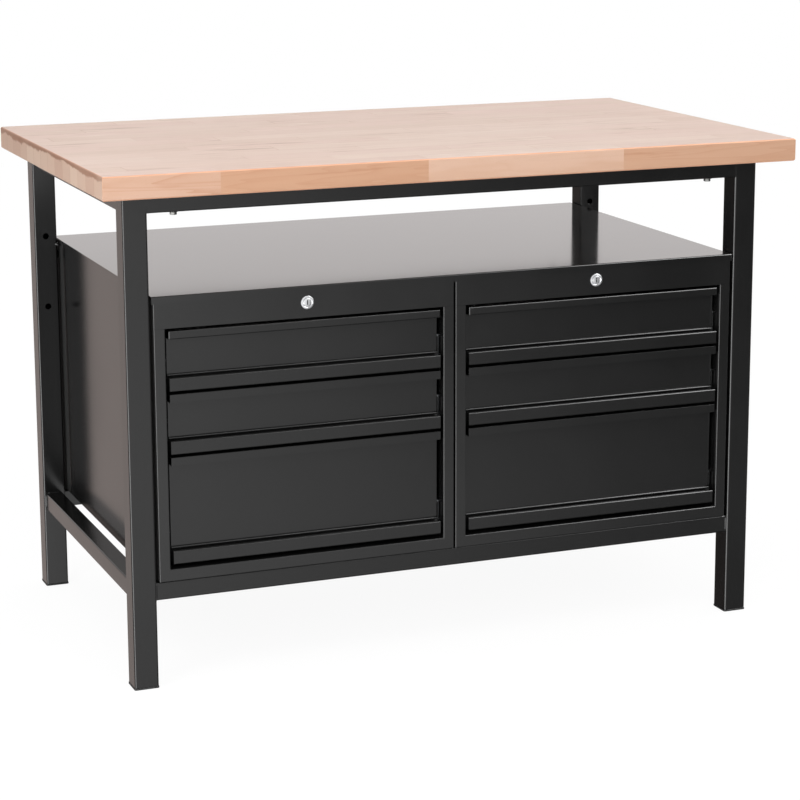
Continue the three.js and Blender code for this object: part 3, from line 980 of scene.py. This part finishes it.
for end in ("front", "back"):
    low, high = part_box(f"top_rail_{end}")
    y = low.y + screw["fromFace"] if end == "front" else high.y - screw["fromFace"]
    for side, x in zip(("left", "right"), screw["places"]):
        makeScrew(f"top_screw_{end}_{side}", x, y, low.z)
print("screws made")


# Welds of the frame
bead = {
    "radius": 0.0026,
    "step": 0.0022,
    "ripple": 0.16,
    "sides": 10,
    "endShare": 0.5,  # of the radius, at both ends
    "uprightShare": 0.7,  # of the radius, on the long rails' upright beads
    "sharpAngle": 60,
}


def layBead(shape, start, end, radius):
    # a rippled bead along a straight line, with rounded ends
    start, end = Vector(start), Vector(end)
    along = (end - start).normalized()
    count = max(3, round((end - start).length / bead["step"]))
    turn = Vector((0, 0, 1)).rotation_difference(along).to_matrix().to_4x4()
    middle, width = start, radius * bead["endShare"]
    verts = bmesh.ops.create_circle(
        shape, cap_ends=True, segments=bead["sides"], radius=width, matrix=Matrix.Translation(start) @ turn,
    )["verts"]
    for step in range(1, count + 1):
        newMiddle = start.lerp(end, step / count)
        fullness = 1 - bead["ripple"] * (step % 2)
        newWidth = radius * (fullness if step < count else bead["endShare"])
        rim = [edge for edge in shape.edges if all(vert in verts for vert in edge.verts)]
        grown = bmesh.ops.extrude_edge_only(shape, edges=rim)["geom"]
        verts = [item for item in grown if isinstance(item, bmesh.types.BMVert)]
        for vert in verts:
            vert.co = newMiddle + (vert.co - middle) * (newWidth / width)
        middle, width = newMiddle, newWidth
    bmesh.ops.contextual_create(shape, geom=verts)


def makeLowWelds(rail):
    low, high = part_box(f"low_rail_{rail}")
    shape = bmesh.new()
    inset = bead["radius"]
    if rail in ("left", "right"):
        x = low.x if rail == "left" else high.x
        for y in (low.y, high.y):
            layBead(shape, (low.x + inset, y, high.z), (high.x - inset, y, high.z), bead["radius"])
            layBead(shape, (x, y, low.z + inset), (x, y, high.z - inset), bead["radius"])
    else:
        y = low.y if rail == "front" else high.y
        for x in (low.x, high.x):
            layBead(shape, (x, low.y + inset, low.z), (x, high.y - inset, low.z), bead["radius"])
            layBead(
                shape, (x, y, low.z + inset), (x, y, high.z - inset), bead["radius"] * bead["uprightShare"],
            )
    bmesh.ops.recalc_face_normals(shape, faces=shape.faces)
    addPiece(f"weld_low_{rail}", shape, "frameCoat", "bench", bead["sharpAngle"])


groundWeld = {"overlap": 0.0042, "depth": 0.0034, "edge": 0.0012, "below": 0.00003}


def makeGroundWelds(end):
    # the flush welds between a long top rail and its legs, ground level with both
    low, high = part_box(f"top_rail_{end}")
    face = low.y + groundWeld["below"] if end == "front" else high.y - groundWeld["below"]
    inward = groundWeld["depth"] / 2 if end == "front" else -groundWeld["depth"] / 2
    for side, x in (("left", low.x), ("right", high.x)):
        shape = bmesh.new()
        bmesh.ops.create_cube(shape, size=1)
        size = (2 * groundWeld["overlap"], groundWeld["depth"], high.z - low.z)
        bmesh.ops.scale(shape, verts=shape.verts, vec=size)
        bmesh.ops.translate(shape, verts=shape.verts, vec=(x, face + inward, (low.z + high.z) / 2))
        bottom = [edge for edge in shape.edges if all(vert.co.z < low.z + hair for vert in edge.verts)]
        roundEdges(shape, bottom, groundWeld["edge"], 3)
        addPiece(f"ground_weld_{end}_{side}", shape, "frameCoat", "bench")


for rail in ("left", "right", "front", "back"):
    makeLowWelds(rail)
for end in ("front", "back"):
    makeGroundWelds(end)

tack = {"height": 0.632, "radius": 0.0036, "lap": 0.004, "forward": 0.001, "drop": 0.002}


def makeTack(side, sign):
    # a short weld between a back leg and its cabinet
    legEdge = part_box(f"leg_back_{side}")[0 if sign > 0 else 1].x
    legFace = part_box(f"leg_back_{side}")[0].y
    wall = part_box(f"cabinet_{side}")[1 if sign > 0 else 0].x
    start = (legEdge + sign * tack["lap"], legFace, tack["height"])
    end = (wall, legFace - tack["forward"], tack["height"] - tack["drop"])
    shape = bmesh.new()
    layBead(shape, start, end, tack["radius"])
    bmesh.ops.recalc_face_normals(shape, faces=shape.faces)
    addPiece(f"tack_{side}", shape, "frameCoat", "bench", bead["sharpAngle"])


for side, sign in (("left", -1), ("right", 1)):
    makeTack(side, sign)
print("welds made")


# Studio: a pale room; what smooth steel mirrors is given by zones of the sky and floor
studio = {
    "ambient": 0.635,  # the room's light on matt surfaces
    "rearWall": 1.17,  # mirrored brightness of the wall behind the bench
    "rearFloor": 0.66,  # and of the floor there
    "rearWallTint": (1.0, 0.955, 0.945, 1),
    "rearFloorTint": (1.0, 0.86, 0.81, 1),
    "rearFrom": (0.1, 0.5),  # Y of a direction that starts to be, and fully is, at the back
    "horizon": (-0.03, 0.06),  # Z of a direction, from floor to wall
    "floorHalf": 6,
    "floorTone": 240,
    "floorShadow": 0.12,  # how much of the floor's own light and shade the camera sees
    "floorWhite": 1.02,  # brightness of the floor for the camera
    "floorLight": 0.8,  # brightness of a white floor under the lamps alone
}
# zones of the room, bounded by degrees of heading from -Y towards +X or by a direction's X, Y or Z
dimSide = {"start": 13, "full": 29, "fade": 60, "end": 95, "tone": 0.05}
nearFloor = {
    "start": -0.212,
    "full": -0.27,
    "fade": -0.29,
    "end": -0.34,
    "forward": -0.4,
    "lift": 0.7,
    "leftLift": 0.35,
    "leftHeadings": (18.0, 14.0),
    # heading where a side starts and ends, and the shares of the lift there
    "fromLeft": (17.0, 21.0, 0.4, 1.0),
    "toRight": (28.5, 25.5, 0.3, 1.0),
    "beyond": (29.3, 29.6, 0.0, 0.75),
}
leftBank = {"toward": (-0.76, -0.62, -0.18), "inner": 12, "outer": 26, "tone": 7.5}
rearFlag = {"start": -161, "full": -154, "fade": -120, "end": -100, "belowZ": (0.5, 0.3), "tone": 0.05}
overheadBank = {"fromX": (0.35, 0.5), "fromZ": (0.2, 0.45), "beforeY": (0.35, 0.1), "tone": 13.0}


def makeWorld():
    world = bpy.data.worlds.new("studioWorld")
    bpy.context.scene.world = world
    world.use_nodes = True
    tree = world.node_tree
    tree.nodes.clear()
    path = tree.nodes.new("ShaderNodeLightPath").outputs
    direction = tree.nodes.new("ShaderNodeTexCoord").outputs["Generated"]
    axes = putNode(tree, "ShaderNodeSeparateXYZ", {0: direction}).outputs

    def product(*factors):
        result = factors[0]
        for factor in factors[1:]:
            result = maths(tree, "MULTIPLY", result, factor)
        return result

    toFront = maths(tree, "MULTIPLY", axes["Y"], -1.0)
    heading = maths(tree, "MULTIPLY", maths(tree, "ARCTAN2", axes["X"], toFront), 180 / pi)
    dim = remap(tree, heading, dimSide["start"], dimSide["full"], smooth=True)
    lit = remap(tree, heading, dimSide["fade"], dimSide["end"], smooth=True)
    dim = maths(tree, "SUBTRACT", dim, lit)
    rear = remap(tree, axes["Y"], *studio["rearFrom"], smooth=True)
    lower = blendFloat(tree, rear, 1.0, studio["rearFloor"])
    lower = blendFloat(tree, dim, lower, dimSide["tone"])
    steep = remap(tree, axes["Z"], nearFloor["start"], nearFloor["full"], smooth=True)
    under = remap(tree, axes["Z"], nearFloor["end"], nearFloor["fade"], smooth=True)
    forward = remap(tree, axes["Y"], 0.0, nearFloor["forward"])
    toLeft = remap(tree, heading, *nearFloor["leftHeadings"], smooth=True)
    centre = product(*(remap(tree, heading, *nearFloor[name]) for name in ("fromLeft", "toRight")))
    centre = maths(tree, "MAXIMUM", centre, remap(tree, heading, *nearFloor["beyond"]))
    lower = maths(tree, "ADD", lower, product(steep, under, forward, centre, nearFloor["lift"]))
    lower = maths(tree, "ADD", lower, product(toLeft, under, forward, nearFloor["leftLift"]))
    above = remap(tree, axes["Z"], *studio["horizon"], smooth=True)
    mirrored = blendFloat(tree, above, lower, blendFloat(tree, rear, 1.0, studio["rearWall"]))
    flag = product(
        remap(tree, heading, rearFlag["start"], rearFlag["full"], smooth=True),
        remap(tree, heading, rearFlag["end"], rearFlag["fade"], smooth=True),
        remap(tree, axes["Z"], *rearFlag["belowZ"]),
    )
    mirrored = blendFloat(tree, flag, mirrored, rearFlag["tone"])
    overhead = product(
        remap(tree, axes["X"], *overheadBank["fromX"], smooth=True),
        remap(tree, axes["Z"], *overheadBank["fromZ"], smooth=True),
        remap(tree, axes["Y"], *overheadBank["beforeY"], smooth=True),
    )
    mirrored = blendFloat(tree, overhead, mirrored, overheadBank["tone"])
    towardBank = {0: direction, 1: Vector(leftBank["toward"]).normalized()}
    turn = putNode(tree, "ShaderNodeVectorMath", towardBank, operation="DOT_PRODUCT").outputs["Value"]
    edge, middle = (cos(radians(leftBank[name])) for name in ("outer", "inner"))
    mirrored = blendFloat(tree, remap(tree, turn, edge, middle, smooth=True), mirrored, leftBank["tone"])

    seen = maths(tree, "MAXIMUM", path["Is Camera Ray"], path["Is Transmission Ray"])
    strength = blendFloat(tree, path["Is Glossy Ray"], studio["ambient"], mirrored)
    strength = blendFloat(tree, seen, strength, 1.0)
    tint = blendColour(tree, above, studio["rearFloorTint"], studio["rearWallTint"])
    tint = blendColour(tree, product(rear, path["Is Glossy Ray"]), (1, 1, 1, 1), tint)
    background = putNode(tree, "ShaderNodeBackground", {"Color": tint, "Strength": strength})
    putNode(tree, "ShaderNodeOutputWorld", {"Surface": background.outputs[0]})


def makeFloor():
    mesh = bpy.data.meshes.new("studioFloor")
    shape = bmesh.new()
    bmesh.ops.create_grid(shape, x_segments=1, y_segments=1, size=studio["floorHalf"])
    shape.to_mesh(mesh)
    shape.free()
    floor = bpy.data.objects.new("studioFloor", mesh)
    bpy.context.scene.collection.objects.link(floor)
    material, tree, shader, _ = newMaterial("studioFloor")
    path = tree.nodes.new("ShaderNodeLightPath").outputs
    pale = screenGrey(studio["floorTone"])
    seenTone = 3 * (studio["floorShadow"],) + (1,)
    feed(tree, shader, Base_Color=blendColour(tree, path["Is Camera Ray"], pale, seenTone))
    shader.inputs["Roughness"].default_value = 1.0
    shader.inputs["Specular IOR Level"].default_value = 0.0
    shader.inputs["Emission Color"].default_value = (1, 1, 1, 1)
    glow = studio["floorWhite"] - studio["floorLight"] * studio["floorShadow"]
    feed(tree, shader, Emission_Strength=maths(tree, "MULTIPLY", path["Is Camera Ray"], glow))
    mesh.materials.append(material)
    floor.visible_glossy = False  # mirrors see the room's own floor zone


def addSoftbox(name, place, target, size, power):
    data = bpy.data.lights.new(name, "AREA")
    data.shape = "RECTANGLE"
    data.size, data.size_y = size
    data.energy = power
    lamp = bpy.data.objects.new(name, data)
    bpy.context.scene.collection.objects.link(lamp)
    lamp.location = place
    lamp.rotation_euler = (Vector(target) - Vector(place)).to_track_quat("-Z", "Y").to_euler()
    lamp.visible_camera = False
    lamp.visible_glossy = False


softboxes = {
    "frontBox": {"place": (-0.4, -3.0, 1.6), "target": (0.0, 0.0, 0.7), "size": (2.4, 1.6), "power": 27},
    "topBox": {"place": (0.1, -1.5, 2.3), "target": (0.0, -0.2, 0.8), "size": (1.6, 1.0), "power": 6},
    "leftBox": {"place": (-1.6, -0.95, 1.15), "target": (-0.6, -0.2, 0.7), "size": (0.6, 0.6), "power": 7.5},
}
makeWorld()
makeFloor()
for boxName, box in softboxes.items():
    addSoftbox(boxName, **box)
print("studio lit")
